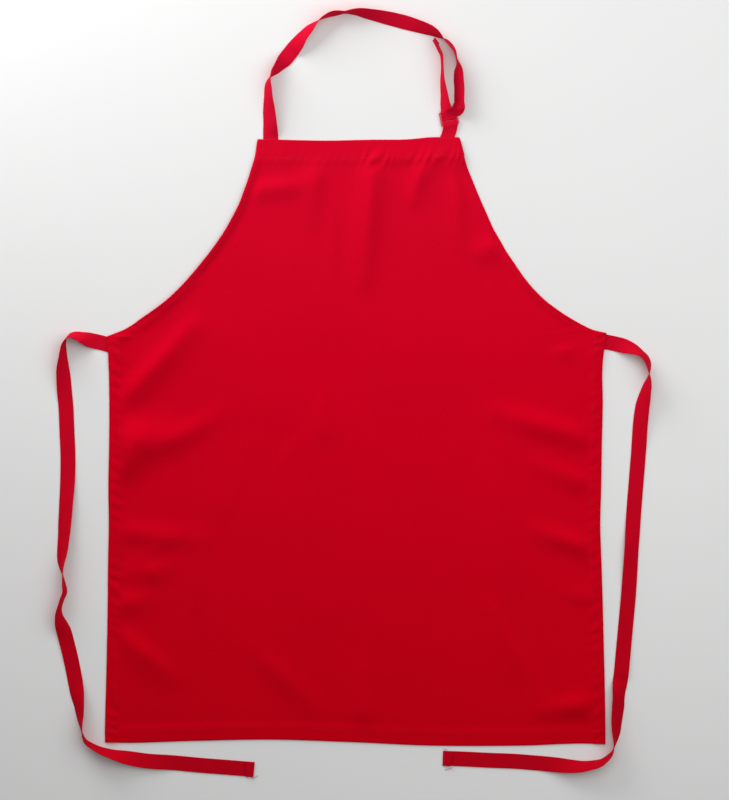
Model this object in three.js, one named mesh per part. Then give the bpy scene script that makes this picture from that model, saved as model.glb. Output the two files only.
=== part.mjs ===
// Adult bib apron of red cotton twill, laid face up on a flat surface, its neck loop and waist ties spread.
// Millimetres, +Z up, bib towards +Y. It is modelled about the middle of the skirt's lower edge, and the
// whole group is then moved so that the origin is at the bottom centre of its bounding box.
import * as THREE from "three";

// Cut sizes of the cloth panel
const skirtWidth = 700;
const skirtLength = 572;
const bibHeight = 273;
const bibWidth = 282;
// How far the bib's middle lies to the right of the skirt's middle, as the apron was laid
const bibShift = 4;

// Cloth and its turned edges
const clothThickness = 1.0;
const hemThickness = 2.0;
const topHem = 30;
const bottomHem = 20;
const sideHem = 17;
const armholeHem = 8;
// Width over which a hem's extra layers step down to the single cloth
const hemStep = 1.5;

// Tapes and the room left between pieces that touch
const tapeWidth = 21;
const tapeThickness = 1.0;
const clearance = 0.3;

// Neck loop: sewn lengths behind the bib, places from the bib's corners, and the height of the loop
const neckSeat = 28;
const strapInset = 18.5;
const tabInset = 16;
const loopHeight = 182;
const tailLength = 115;

// Slider: three bars and two slots, its middle above the bib's edge and its turn from upright
const sliderWidth = 26;
const sliderThickness = 2.0;
const slotLength = 6.2;
const edgeBar = 2.6;
const middleBar = 3.0;
const sliderCorner = 2.2;
const sliderStand = 30;
const sliderShift = 2;
const sliderTurn = 12;

// Waist ties: sewn length behind the side hem, place below the waist, how far they lie off the skirt's side,
// how far below the hem they lie, and how far they reach back in there
const tieSeat = 18;
const leftTieBelowWaist = 13.2;
const rightTieBelowWaist = 12;
const tieStandoff = 59;
const tieDrop = 35;
const leftTieReach = 207;
const rightTieReach = 227;

// Strips of the panel's facets, across and along between the hems
const stripsAcross = 26;
const stripsSkirt = 21;

// Facets of a tape: the most that its roll turns between sections, in degrees, and the steps of a tight bend
const sectionTurn = 20;
const bendSteps = 3;

// Colours of the cloth, the tapes and the plastic
const clothRed = 0xc4042a;
const tapeRed = 0xc20a2c;
const plasticRed = 0xd0173a;

const panelLength = skirtLength + bibHeight;
const rad = THREE.MathUtils.degToRad;
const smooth = THREE.MathUtils.smoothstep;

// Half widths of the bib from the skirt's middle line
const bibLeft = bibWidth / 2 - bibShift;
const bibRight = bibWidth / 2 + bibShift;
const skirtHalf = skirtWidth / 2;

// Armholes, a row per section from the bib's top edge to the waist corners.
// down: share of the bib's height; left, right: share of the way out from the bib's corner to the waist corner
const armhole = [
  { down: 0.0, left: 0.0, right: 0.0 },
  { down: 0.085, left: 0.015, right: 0.031 },
  { down: 0.208, left: 0.063, right: 0.09 },
  { down: 0.331, left: 0.121, right: 0.158 },
  { down: 0.454, left: 0.206, right: 0.231 },
  { down: 0.577, left: 0.314, right: 0.324 },
  { down: 0.7, left: 0.444, right: 0.436 },
  { down: 0.792, left: 0.556, right: 0.54 },
  { down: 0.866, left: 0.674, right: 0.66 },
  { down: 0.92, left: 0.775, right: 0.77 },
  { down: 0.968, left: 0.87, right: 0.885 },
  { down: 1.0, left: 1.0, right: 1.0 },
];

// Skirt sides, a row per section from the waist to the lower edge.
// down: share of the skirt's length; left, right: share of half the skirt's width
const sides = [
  { down: 0.0, left: 1.0, right: 1.0 },
  { down: 0.17, left: 0.986, right: 0.989 },
  { down: 0.37, left: 0.988, right: 0.983 },
  { down: 0.5, left: 0.988, right: 0.98 },
  { down: 0.7, left: 0.993, right: 0.99 },
  { down: 0.86, left: 0.998, right: 0.997 },
  { down: 1.0, left: 1.0, right: 1.0 },
];

// Waves of the two cut edges that lie straight in the pattern, as shares of the skirt's length.
// across: share of the edge's own width from its left end; lower, upper: rise of the edge
const waves = [
  { across: 0.0, lower: 0.002, upper: 0.0 },
  { across: 0.17, lower: 0.006, upper: -0.001 },
  { across: 0.34, lower: 0.0095, upper: -0.0025 },
  { across: 0.5, lower: 0.003, upper: -0.001 },
  { across: 0.65, lower: -0.005, upper: 0.0 },
  { across: 0.84, lower: -0.004, upper: 0.005 },
  { across: 1.0, lower: -0.001, upper: 0.005 },
];

// Ridges of the creased cloth. x1, x2: shares of the skirt's width from its middle; y1, y2: shares of the
// panel's length up from the lower edge; rise: share of the tape's width; spread: share of the side hem
const folds = [
  { x1: -0.315, y1: 0.695, x2: -0.465, y2: 0.575, rise: 0.3, spread: 0.9 },
  { x1: -0.269, y1: 0.549, x2: -0.367, y2: 0.509, rise: 0.2, spread: 0.9 },
  { x1: -0.367, y1: 0.509, x2: -0.461, y2: 0.478, rise: 0.25, spread: 0.9 },
  { x1: -0.301, y1: 0.347, x2: -0.481, y2: 0.347, rise: 0.14, spread: 0.9 },
  { x1: -0.359, y1: 0.11, x2: -0.469, y2: 0.175, rise: 0.2, spread: 0.9 },
  { x1: -0.049, y1: 0.042, x2: -0.197, y2: 0.142, rise: 0.2, spread: 1.0 },
  { x1: 0.024, y1: 0.16, x2: 0.024, y2: 0.03, rise: 0.14, spread: 1.0 },
  { x1: 0.024, y1: 0.96, x2: 0.024, y2: 0.708, rise: 0.14, spread: 1.0 },
  { x1: 0.203, y1: 0.933, x2: 0.203, y2: 0.85, rise: 0.14, spread: 0.9 },
  { x1: 0.391, y1: 0.64, x2: 0.459, y2: 0.663, rise: 0.14, spread: 0.9 },
  { x1: 0.273, y1: 0.552, x2: 0.459, y2: 0.512, rise: 0.25, spread: 0.9 },
  { x1: 0.359, y1: 0.471, x2: 0.465, y2: 0.441, rise: 0.2, spread: 0.9 },
  { x1: 0.343, y1: 0.363, x2: 0.479, y2: 0.332, rise: 0.2, spread: 0.9 },
  { x1: 0.383, y1: 0.062, x2: 0.469, y2: 0.072, rise: 0.14, spread: 0.9 },
  { x1: -0.078, y1: 0.565, x2: -0.078, y2: 0.519, rise: 0.14, spread: 0.9 },
  { x1: -0.057, y1: 0.499, x2: -0.171, y2: 0.458, rise: 0.2, spread: 0.9 },
  { x1: -0.249, y1: 0.403, x2: -0.299, y2: 0.315, rise: 0.2, spread: 0.9 },
  { x1: 0.293, y1: 0.438, x2: 0.317, y2: 0.269, rise: 0.2, spread: 0.9 },
];

// Waist ties, a row per section. out: share of the standoff outside the skirt's side; in: share of the reach
// inside it; down: share of the skirt's length below the tie's seat; drop: share of the drop past the lower
// edge; roll: the tape's turn about its own line, in degrees, 90 on edge and 180 with the other face up
const leftTie = [
  { out: 0.18, in: 0, down: -0.005, drop: 0, roll: 0 },
  { out: 0.37, in: 0, down: -0.009, drop: 0, roll: 12 },
  { out: 0.56, in: 0, down: -0.016, drop: 0, roll: 44 },
  { out: 0.82, in: 0, down: -0.021, drop: 0, roll: 73 },
  { out: 0.957, in: 0, down: -0.005, drop: 0, roll: 95 },
  { out: 0.993, in: 0, down: 0.02, drop: 0, roll: 113 },
  { out: 1.005, in: 0, down: 0.059, drop: 0, roll: 143 },
  { out: 0.974, in: 0, down: 0.118, drop: 0, roll: 174 },
  { out: 0.917, in: 0, down: 0.215, drop: 0, roll: 180 },
  { out: 0.9, in: 0, down: 0.333, drop: 0, roll: 186 },
  { out: 0.957, in: 0, down: 0.43, drop: 0, roll: 205 },
  { out: 1.021, in: 0, down: 0.509, drop: 0, roll: 224 },
  { out: 1.029, in: 0, down: 0.55, drop: 0, roll: 254 },
  { out: 0.976, in: 0, down: 0.587, drop: 0, roll: 277 },
  { out: 0.955, in: 0, down: 0.607, drop: 0, roll: 284 },
  { out: 1.029, in: 0, down: 0.626, drop: 0, roll: 282 },
  { out: 1.093, in: 0, down: 0.665, drop: 0, roll: 297 },
  { out: 1.045, in: 0, down: 0.685, drop: 0, roll: 323 },
  { out: 0.926, in: 0, down: 0.726, drop: 0, roll: 355 },
  { out: 0.76, in: 0, down: 0.802, drop: 0, roll: 361 },
  { out: 0.65, in: 0, down: 0.865, drop: 0, roll: 388 },
  { out: 0.583, in: 0, down: 0.925, drop: 0, roll: 430 },
  { out: 0.502, in: 0, down: 0.962, drop: 0, roll: 453 },
  { out: 0.226, in: 0, down: 0.977, drop: 0.152, roll: 468 },
  { out: 0, in: 0.071, down: 0.977, drop: 0.444, roll: 489 },
  { out: 0, in: 0.233, down: 0.977, drop: 0.652, roll: 524 },
  { out: 0, in: 0.476, down: 0.977, drop: 0.776, roll: 540 },
  { out: 0, in: 0.75, down: 0.977, drop: 0.92, roll: 540 },
  { out: 0, in: 1.0, down: 0.977, drop: 1.036, roll: 540 },
];
const rightTie = [
  { out: 0.2, in: 0, down: 0.001, drop: 0, roll: 0 },
  { out: 0.393, in: 0, down: 0.006, drop: 0, roll: -8 },
  { out: 0.583, in: 0, down: 0.013, drop: 0, roll: -33 },
  { out: 0.845, in: 0, down: 0.026, drop: 0, roll: -63 },
  { out: 1.01, in: 0, down: 0.05, drop: 0, roll: -67 },
  { out: 1.026, in: 0, down: 0.077, drop: 0, roll: -89 },
  { out: 0.981, in: 0, down: 0.105, drop: 0, roll: -121 },
  { out: 0.905, in: 0, down: 0.138, drop: 0, roll: -147 },
  { out: 0.829, in: 0, down: 0.197, drop: 0, roll: -169 },
  { out: 0.779, in: 0, down: 0.276, drop: 0, roll: -180 },
  { out: 0.648, in: 0, down: 0.452, drop: 0, roll: -185 },
  { out: 0.612, in: 0, down: 0.511, drop: 0, roll: -195 },
  { out: 0.536, in: 0, down: 0.628, drop: 0, roll: -182 },
  { out: 0.379, in: 0, down: 0.804, drop: 0, roll: -175 },
  { out: 0.319, in: 0, down: 0.848, drop: 0, roll: -205 },
  { out: 0.295, in: 0, down: 0.887, drop: 0, roll: -212 },
  { out: 0.255, in: 0, down: 0.926, drop: 0, roll: -223 },
  { out: 0.233, in: 0, down: 0.963, drop: 0, roll: -243 },
  { out: 0.169, in: 0, down: 0.979, drop: 0.268, roll: -270 },
  { out: 0, in: 0.009, down: 0.979, drop: 0.66, roll: -286 },
  { out: 0, in: 0.096, down: 0.979, drop: 0.852, roll: -303 },
  { out: 0, in: 0.231, down: 0.979, drop: 0.888, roll: -332 },
  { out: 0, in: 0.417, down: 0.979, drop: 0.784, roll: -360 },
  { out: 0, in: 0.713, down: 0.979, drop: 0.672, roll: -360 },
  { out: 0, in: 1.0, down: 0.979, drop: 0.588, roll: -360 },
];

// Neck loop, a row per section. across: share of the way from the strap's seat to the slider's middle;
// up: share of the loop's height above the bib's edge; roll as for the ties
const loop = [
  { across: -0.003, up: 0.119, roll: -26 },
  { across: -0.011, up: 0.273, roll: -46 },
  { across: -0.014, up: 0.396, roll: -62 },
  { across: -0.004, up: 0.465, roll: -82 },
  { across: 0.023, up: 0.519, roll: -114 },
  { across: 0.061, up: 0.581, roll: -140 },
  { across: 0.114, up: 0.673, roll: -180 },
  { across: 0.182, up: 0.796, roll: -226 },
  { across: 0.252, up: 0.892, roll: -255 },
  { across: 0.316, up: 0.946, roll: -279 },
  { across: 0.417, up: 0.974, roll: -273 },
  { across: 0.49, up: 0.975, roll: -293 },
  { across: 0.558, up: 0.959, roll: -309 },
  { across: 0.692, up: 0.92, roll: -330 },
  { across: 0.827, up: 0.868, roll: -321 },
  { across: 0.928, up: 0.812, roll: -294 },
  { across: 0.981, up: 0.761, roll: -260 },
  { across: 1.02, up: 0.704, roll: -261 },
  { across: 1.041, up: 0.627, roll: -269 },
  { across: 1.05, up: 0.55, roll: -291 },
  { across: 1.052, up: 0.458, roll: -309 },
  { across: 1.056, up: 0.335, roll: -311 },
];

// Free tail, a row per section. aside, up: shares of the tail's length from the slider's middle; roll as above
const tail = [
  { aside: -0.07, up: 0.37, roll: 110 },
  { aside: -0.08, up: 0.565, roll: 98 },
  { aside: -0.084, up: 0.72, roll: 102 },
  { aside: -0.122, up: 0.835, roll: 107 },
  { aside: -0.18, up: 0.94, roll: 109 },
  { aside: -0.21, up: 1.0, roll: 109 },
];

// The two runs of the strap where they spread apart off the slider, each row a section up from its top bar.
// u, v: shares of the tape's width across and up; z: share of it above the surface;
// lean: how far the right-hand edge rises, in degrees
const strapSpread = [
  { u: 0.55, v: 0.4, z: 0.37, lean: 42 },
  { u: 0.22, v: 0.16, z: 0.26, lean: 14 },
];
const tailSpread = [
  { u: -0.06, v: 0.3, z: 0.42, lean: 26 },
  { u: -0.16, v: 0.68, z: 0.47, lean: 56 },
];

// Value of a table's column where its key column reaches a given value, straight between rows
function read(table, key, at, column) {
  let i = 1;
  while (i < table.length - 1 && table[i][key] < at) i += 1;
  const [a, b] = [table[i - 1], table[i]];
  const share = THREE.MathUtils.clamp((at - a[key]) / (b[key] - a[key]), 0, 1);
  return THREE.MathUtils.lerp(a[column], b[column], share);
}

// Where the panel's side edge lies at a height above the lower edge; side is "left" or "right"
function edgeX(y, side) {
  const bib = side === "left" ? bibLeft : bibRight;
  const half =
    y >= skirtLength
      ? bib + (skirtHalf - bib) * read(armhole, "down", (panelLength - y) / bibHeight, side)
      : skirtHalf * read(sides, "down", (skirtLength - y) / skirtLength, side);
  return side === "left" ? -half : half;
}

// How far in from that edge its turned hem reaches, measured along the row
function hemAcross(y, side) {
  if (y <= skirtLength) return sideHem;
  const probe = hemStep;
  const run = Math.abs(edgeX(y + probe, side) - edgeX(y - probe, side)) / (2 * probe);
  return armholeHem * Math.hypot(1, run);
}

// Seats of the four sewn tape ends
const leftTieY = skirtLength - leftTieBelowWaist;
const rightTieY = skirtLength - rightTieBelowWaist;
const strapX = -bibLeft + strapInset;
const tabX = bibRight - tabInset;
const seatLayer = tapeThickness + clearance;
// The ties leave at a slant, so their seats are level over somewhat more than half a tape each way
const slantedHalf = 0.7 * tapeWidth;
const pads = [
  { x: -skirtHalf + tieSeat / 2, y: leftTieY, halfX: tieSeat / 2, halfY: slantedHalf, lift: seatLayer },
  { x: skirtHalf - tieSeat / 2, y: rightTieY, halfX: tieSeat / 2, halfY: slantedHalf, lift: seatLayer },
  { x: strapX, y: panelLength - neckSeat / 2, halfX: tapeWidth / 2, halfY: neckSeat / 2, lift: seatLayer },
  { x: tabX, y: panelLength - neckSeat / 2, halfX: tapeWidth / 2, halfY: neckSeat / 2, lift: 2 * seatLayer },
];

// Height that the tape ends under the panel lift it by, level over each seat and falling away past it
const levelMargin = skirtLength / stripsSkirt;
function seatLift(x, y) {
  let lift = 0;
  for (const p of pads) {
    const awayX = Math.abs(x - p.x) - p.halfX - levelMargin;
    const awayY = Math.abs(y - p.y) - p.halfY - levelMargin;
    const fall = (1 - smooth(awayX, 0, topHem)) * (1 - smooth(awayY, 0, topHem));
    lift = Math.max(lift, p.lift * fall);
  }
  return lift;
}

// Height of the creases at a point, fading out towards the hems
function creaseHeight(x, y, inset) {
  let sum = 0;
  for (const f of folds) {
    const line = new THREE.Line3(
      new THREE.Vector3(f.x1 * skirtWidth, f.y1 * panelLength, 0),
      new THREE.Vector3(f.x2 * skirtWidth, f.y2 * panelLength, 0),
    );
    const near = line.closestPointToPoint(new THREE.Vector3(x, y, 0), true, new THREE.Vector3());
    const away = Math.hypot(near.x - x, near.y - y) / (f.spread * sideHem);
    sum += f.rise * tapeWidth * Math.exp(-away * away);
  }
  return sum * smooth(inset, 0, sideHem);
}

// Rows of the panel from the lower edge up: edge, hem line, step, even strips, then the armhole's own sections
function panelRows() {
  const rows = [0, bottomHem, bottomHem + hemStep];
  for (let i = 1; i < stripsSkirt; i += 1) {
    rows.push(THREE.MathUtils.lerp(bottomHem + hemStep, skirtLength, i / stripsSkirt));
  }
  const hemLine = panelLength - topHem;
  for (const section of [...armhole].reverse()) {
    const y = panelLength - section.down * bibHeight;
    if (y < hemLine - 2 * hemStep) rows.push(y);
  }
  rows.push(hemLine - hemStep, hemLine, panelLength);
  return rows;
}

// Columns of one row: edge, hem line, step, even strips, and the same again to the other edge
function panelColumns(y) {
  const left = edgeX(y, "left");
  const right = edgeX(y, "right");
  const hemLeft = left + hemAcross(y, "left");
  const hemRight = right - hemAcross(y, "right");
  const columns = [left, hemLeft, hemLeft + hemStep];
  for (let i = 1; i < stripsAcross; i += 1) {
    columns.push(THREE.MathUtils.lerp(hemLeft + hemStep, hemRight - hemStep, i / stripsAcross));
  }
  columns.push(hemRight - hemStep, hemRight, right);
  return columns;
}

// The panel as one closed shell: an upper grid, a lower grid and the rim between them
function panelGeometry() {
  const rows = panelRows();
  const grid = rows.map((y, j) => {
    const columns = panelColumns(y);
    const across = columns[columns.length - 1] - columns[0];
    const fromEnd = Math.min(j, rows.length - 1 - j);
    return columns.map((x, i) => {
      const share = (x - columns[0]) / across;
      const wave = skirtLength * (j < 2 ? read(waves, "across", share, "lower") : 0);
      const crest = skirtLength * (j > rows.length - 3 ? read(waves, "across", share, "upper") : 0);
      const turned = i < 2 || i > columns.length - 3 || fromEnd < 2;
      const insetX = Math.min(x - columns[1], columns[columns.length - 2] - x);
      const insetY = Math.min(y - bottomHem, panelLength - topHem - y);
      const rise = turned ? 0 : creaseHeight(x, y, Math.min(insetX, insetY));
      const base = seatLift(x, y);
      const under = turned ? 0 : hemThickness - clothThickness;
      return { x, y: y + wave + crest, low: base + under + rise, high: base + hemThickness + rise };
    });
  });
  const wide = grid[0].length;
  const tall = grid.length;
  const points = [];
  for (const level of ["high", "low"]) {
    for (const row of grid) for (const p of row) points.push(p.x, p.y, p[level]);
  }
  const lower = wide * tall;
  const index = [];
  const quad = (a, b, c, d) => index.push(a, b, c, a, c, d);
  for (let j = 0; j + 1 < tall; j += 1) {
    for (let i = 0; i + 1 < wide; i += 1) {
      const a = j * wide + i;
      quad(a, a + 1, a + wide + 1, a + wide);
      index.push(lower + a, lower + a + wide + 1, lower + a + 1);
      index.push(lower + a, lower + a + wide, lower + a + wide + 1);
    }
  }
  const rim = [];
  for (let i = 0; i + 1 < wide; i += 1) rim.push(i);
  for (let j = 0; j + 1 < tall; j += 1) rim.push(j * wide + wide - 1);
  for (let i = wide - 1; i > 0; i -= 1) rim.push((tall - 1) * wide + i);
  for (let j = tall - 1; j > 0; j -= 1) rim.push(j * wide);
  rim.forEach((a, k) => {
    const b = rim[(k + 1) % rim.length];
    quad(lower + a, lower + b, b, a);
  });
  return closed(points, index);
}

function closed(points, index) {
  const geometry = new THREE.BufferGeometry();
  geometry.setAttribute("position", new THREE.Float32BufferAttribute(points, 3));
  geometry.setIndex(index);
  geometry.computeVertexNormals();
  return geometry;
}

// A section of a tape that lies on the surface: its middle, its turn about its own line, and its flat heading.
// The lower edge of the rolled tape touches the surface.
function lying(x, y, roll) {
  const r = rad(roll);
  const z = (tapeWidth * Math.abs(Math.sin(r)) + tapeThickness * Math.abs(Math.cos(r))) / 2;
  return { at: new THREE.Vector3(x, y, z), roll };
}

// Extra sections between the rows of a route, on a smooth curve through them, close enough for its turns
function refine(sections) {
  const curve = new THREE.CatmullRomCurve3(sections.map((s) => s.at), false, "centripetal");
  const fine = [];
  for (let i = 0; i + 1 < sections.length; i += 1) {
    const [a, b] = [sections[i], sections[i + 1]];
    const turns = Math.abs(b.roll - a.roll) / sectionTurn;
    const runs = a.at.distanceTo(b.at) / (2 * tapeWidth);
    const steps = Math.ceil(Math.max(turns, runs, 1));
    for (let k = 0; k < steps; k += 1) {
      const p = curve.getPoint((i + k / steps) / (sections.length - 1));
      fine.push(lying(p.x, p.y, THREE.MathUtils.lerp(a.roll, b.roll, k / steps)));
    }
  }
  fine.push(sections[sections.length - 1]);
  return fine;
}

// Gives each section of a lying route its direction across the tape, from the route's own heading
function setAcross(sections) {
  sections.forEach((s, i) => {
    const before = sections[Math.max(i - 1, 0)].at;
    const after = sections[Math.min(i + 1, sections.length - 1)].at;
    const heading = new THREE.Vector3(after.x - before.x, after.y - before.y, 0).normalize();
    const r = rad(s.roll);
    s.across = new THREE.Vector3(-heading.y * Math.cos(r), heading.x * Math.cos(r), Math.sin(r));
  });
  return sections;
}

// A tape of the tape's width and thickness swept through sections that hold a middle and an across direction
function tapeGeometry(sections) {
  const points = [];
  sections.forEach((s, i) => {
    const before = sections[Math.max(i - 1, 0)].at;
    const after = sections[Math.min(i + 1, sections.length - 1)].at;
    const heading = after.clone().sub(before).normalize();
    const face = heading.clone().cross(s.across).normalize();
    for (const [side, level] of [[-1, -1], [1, -1], [1, 1], [-1, 1]]) {
      const corner = s.at.clone();
      corner.addScaledVector(s.across, (side * tapeWidth) / 2);
      corner.addScaledVector(face, (level * tapeThickness) / 2);
      points.push(corner.x, corner.y, corner.z);
    }
  });
  const index = [0, 2, 1, 0, 3, 2];
  const last = 4 * (sections.length - 1);
  index.push(last, last + 1, last + 2, last, last + 2, last + 3);
  for (let s = 0; s < last; s += 4) {
    for (let k = 0; k < 4; k += 1) {
      const a = s + k;
      const b = s + ((k + 1) % 4);
      // The two broad faces are split along the same diagonal, so that a twisted stretch keeps its thickness
      if (k < 2) index.push(a, b + 4, a + 4, a, b, b + 4);
      else index.push(a, b, a + 4, b, b + 4, a + 4);
    }
  }
  return closed(points, index);
}

// A waist tie from its seat behind the side hem; side is -1 for the left one and 1 for the right one
function tieSections(table, side, seatY, reach) {
  const edge = side * skirtHalf;
  const rows = table.map((row) => {
    const x = edge + side * (row.out * tieStandoff - row.in * reach);
    const y = seatY - row.down * skirtLength - row.drop * tieDrop;
    return lying(x, y, row.roll);
  });
  const first = rows[0].at;
  const toSeat = new THREE.Vector3(edge - first.x, seatY - first.y, 0).normalize();
  const inside = new THREE.Vector3(edge, seatY, first.z).addScaledVector(toSeat, tieSeat - hemStep);
  return setAcross(refine([lying(inside.x, inside.y, 0), lying(edge, seatY, 0), ...rows]));
}

// The slider's own frame: u across its bars, v up through its slots, z above the surface
const sliderX = tabX + sliderShift;
const sliderY = panelLength + sliderStand;
const sliderLow = seatLayer;
const sliderHigh = sliderLow + sliderThickness;
const turn = rad(sliderTurn);
const uAxis = new THREE.Vector3(Math.cos(turn), Math.sin(turn), 0);
const vAxis = new THREE.Vector3(-Math.sin(turn), Math.cos(turn), 0);
const halfMiddle = middleBar / 2;
const slotEnd = halfMiddle + slotLength;
const halfLong = slotEnd + edgeBar;

function inSlider(u, v, z) {
  return new THREE.Vector3(sliderX, sliderY, z).addScaledVector(uAxis, u).addScaledVector(vAxis, v);
}

// Sections of a tape through the slider, along a line in its v and z with the across direction kept along u
function threaded(line) {
  return line.map(([v, z]) => ({ at: inSlider(0, v, z), across: uAxis.clone() }));
}

// Points of a bend about a bar's corner, at the tape's middle line, from one direction to another in degrees
const bendRadius = clearance + tapeThickness / 2;
function bend(v, z, from, to) {
  const line = [];
  for (let k = 0; k <= bendSteps; k += 1) {
    const a = rad(THREE.MathUtils.lerp(from, to, k / bendSteps));
    line.push([v + bendRadius * Math.cos(a), z + bendRadius * Math.sin(a)]);
  }
  return line;
}

// Slope at which the strap drops through the upper slot, from above the top bar to below the middle one
const slotSpan = Math.hypot(slotLength, sliderThickness);
const drop = Math.atan2(sliderThickness, slotLength) + Math.asin((2 * bendRadius) / slotSpan);
const dropDegrees = THREE.MathUtils.radToDeg(drop);

// Neck strap: seat, loop, over the top bar, under the middle bar, back over both, and the free tail
function neckStrapSections() {
  const seatTop = lying(strapX, panelLength, 0);
  const seatEnd = lying(strapX, panelLength - neckSeat, 0);
  const rows = loop.map((row) =>
    lying(strapX + row.across * (sliderX - strapX), panelLength + row.up * loopHeight, row.roll),
  );
  const route = setAcross(refine([seatEnd, seatTop, ...rows]));
  const strapOver = sliderHigh + bendRadius;
  const tailOver = strapOver + seatLayer;
  const leaning = (row) => {
    const across = uAxis.clone().multiplyScalar(Math.cos(rad(row.lean)));
    across.z = Math.sin(rad(row.lean));
    return { at: inSlider(row.u * tapeWidth, halfLong + row.v * tapeWidth, row.z * tapeWidth), across };
  };
  const entry = strapSpread.map(leaning);
  const exit = tailSpread.map(leaning);
  const through = threaded([
    [halfLong, strapOver],
    ...bend(slotEnd, sliderHigh, 90, 90 + dropDegrees),
    ...bend(halfMiddle, sliderLow, dropDegrees - 90, -90),
    ...bend(-halfMiddle, sliderLow, -90, -180),
    ...bend(-halfMiddle, sliderHigh, 180, 90),
    [halfMiddle, strapOver],
    [slotEnd, tailOver],
    [halfLong, tailOver],
  ]);
  const free = setAcross(
    refine(
      tail.map((row) => lying(sliderX + row.aside * tailLength, sliderY + row.up * tailLength, row.roll)),
    ),
  );
  return [...route, ...entry, ...through, ...exit, ...free];
}

// Buckle tab: up from its seat, round the slider's lower bar and back down on itself to the same seat
function tabSections() {
  const acrossSeat = new THREE.Vector3(1, 0, 0);
  // A flat section at a height on the panel, or a share of the way on from there to the slider's lower bar
  const flat = (y, z, share) => ({
    at: new THREE.Vector3(tabX, y, z).lerp(inSlider(0, -halfLong - 2 * bendRadius, z), share),
    across: acrossSeat.clone().lerp(uAxis, share).normalize(),
  });
  const halfway = 0.5;
  const lower = tapeThickness / 2;
  const upper = lower + seatLayer;
  const barLow = -halfLong;
  const barHigh = -slotEnd;
  const fallOff = 150;
  return [
    flat(panelLength - neckSeat, lower, 0),
    flat(panelLength, lower, 0),
    flat(panelLength, lower, halfway),
    ...threaded([[barLow, lower], ...bend(barHigh, sliderLow, -90, 0), ...bend(barHigh, sliderHigh, 0, 90)]),
    ...threaded(bend(barLow, sliderHigh, 90, fallOff)),
    flat(panelLength, upper, halfway),
    flat(panelLength, upper, 0),
    flat(panelLength - neckSeat, upper, 0),
  ];
}

// Slider plate with rounded corners and two slots
function sliderGeometry() {
  const halfWide = sliderWidth / 2;
  const sideBar = (sliderWidth - tapeWidth) / 2 - clearance;
  const r = sliderCorner;
  const plate = new THREE.Shape();
  plate.absarc(halfWide - r, halfLong - r, r, 0, Math.PI / 2, false);
  plate.absarc(-halfWide + r, halfLong - r, r, Math.PI / 2, Math.PI, false);
  plate.absarc(-halfWide + r, -halfLong + r, r, Math.PI, 1.5 * Math.PI, false);
  plate.absarc(halfWide - r, -halfLong + r, r, 1.5 * Math.PI, 2 * Math.PI, false);
  plate.closePath();
  for (const middle of [1, -1]) {
    const slot = new THREE.Path();
    const [low, high] = [middle * (halfMiddle + slotLength / 2) - slotLength / 2, slotLength];
    slot.moveTo(-halfWide + sideBar, low);
    slot.lineTo(-halfWide + sideBar, low + high);
    slot.lineTo(halfWide - sideBar, low + high);
    slot.lineTo(halfWide - sideBar, low);
    slot.closePath();
    plate.holes.push(slot);
  }
  return new THREE.ExtrudeGeometry(plate, { depth: sliderThickness, bevelEnabled: false, curveSegments: 4 });
}

const apron = new THREE.Group();

function add(name, geometry, color, roughness) {
  const material = new THREE.MeshStandardMaterial({ color, roughness, metalness: 0 });
  const mesh = new THREE.Mesh(geometry, material);
  mesh.name = name;
  apron.add(mesh);
  return mesh;
}

add("panel", panelGeometry(), clothRed, 0.9);
add("neck_strap", tapeGeometry(neckStrapSections()), tapeRed, 0.85);
add("buckle_tab", tapeGeometry(tabSections()), tapeRed, 0.85);
const slider = add("slide_buckle", sliderGeometry(), plasticRed, 0.35);
slider.position.set(sliderX, sliderY, sliderLow);
slider.rotation.z = turn;
add("tie_left", tapeGeometry(tieSections(leftTie, -1, leftTieY, leftTieReach)), tapeRed, 0.85);
add("tie_right", tapeGeometry(tieSections(rightTie, 1, rightTieY, rightTieReach)), tapeRed, 0.85);

// The origin goes to the bottom centre of the whole apron
const box = new THREE.Box3().setFromObject(apron);
const middle = box.getCenter(new THREE.Vector3());
apron.position.set(-middle.x, -middle.y, -box.min.z);

export default apron;
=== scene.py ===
import math

import bmesh
import bpy
from mathutils import Matrix, Vector, noise


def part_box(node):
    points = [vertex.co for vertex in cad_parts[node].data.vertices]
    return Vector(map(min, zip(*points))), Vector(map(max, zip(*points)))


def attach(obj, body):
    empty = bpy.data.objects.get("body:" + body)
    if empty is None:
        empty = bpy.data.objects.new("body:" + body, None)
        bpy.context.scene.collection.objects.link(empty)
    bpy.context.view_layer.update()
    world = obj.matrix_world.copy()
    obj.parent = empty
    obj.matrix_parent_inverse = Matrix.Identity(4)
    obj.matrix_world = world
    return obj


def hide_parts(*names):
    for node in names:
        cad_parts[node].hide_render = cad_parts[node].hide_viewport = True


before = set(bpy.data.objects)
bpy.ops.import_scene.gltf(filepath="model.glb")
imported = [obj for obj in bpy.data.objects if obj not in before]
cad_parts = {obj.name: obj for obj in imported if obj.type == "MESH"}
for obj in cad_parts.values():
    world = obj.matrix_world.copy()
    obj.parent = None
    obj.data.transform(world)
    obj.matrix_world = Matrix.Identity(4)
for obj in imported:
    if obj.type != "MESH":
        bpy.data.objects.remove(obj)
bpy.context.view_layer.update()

# The view from straight above, as the apron lies spread on a white-painted board under a window at its top left.
# The camera stands far off with a long lens, so that the standing tapes show no lean of their own.
mm = 0.001
board_in_view = 1120 * mm
camera_height = 5.0
sensor = 24.0
overhead = bpy.data.objects.new("overhead", bpy.data.cameras.new("overhead"))
overhead.data.sensor_fit = "VERTICAL"
overhead.data.sensor_height = sensor
overhead.data.lens = sensor * camera_height / board_in_view
overhead.data.clip_end = 50
overhead.location = (16.0 * mm, -9.2 * mm, camera_height)
bpy.context.collection.objects.link(overhead)
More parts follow.
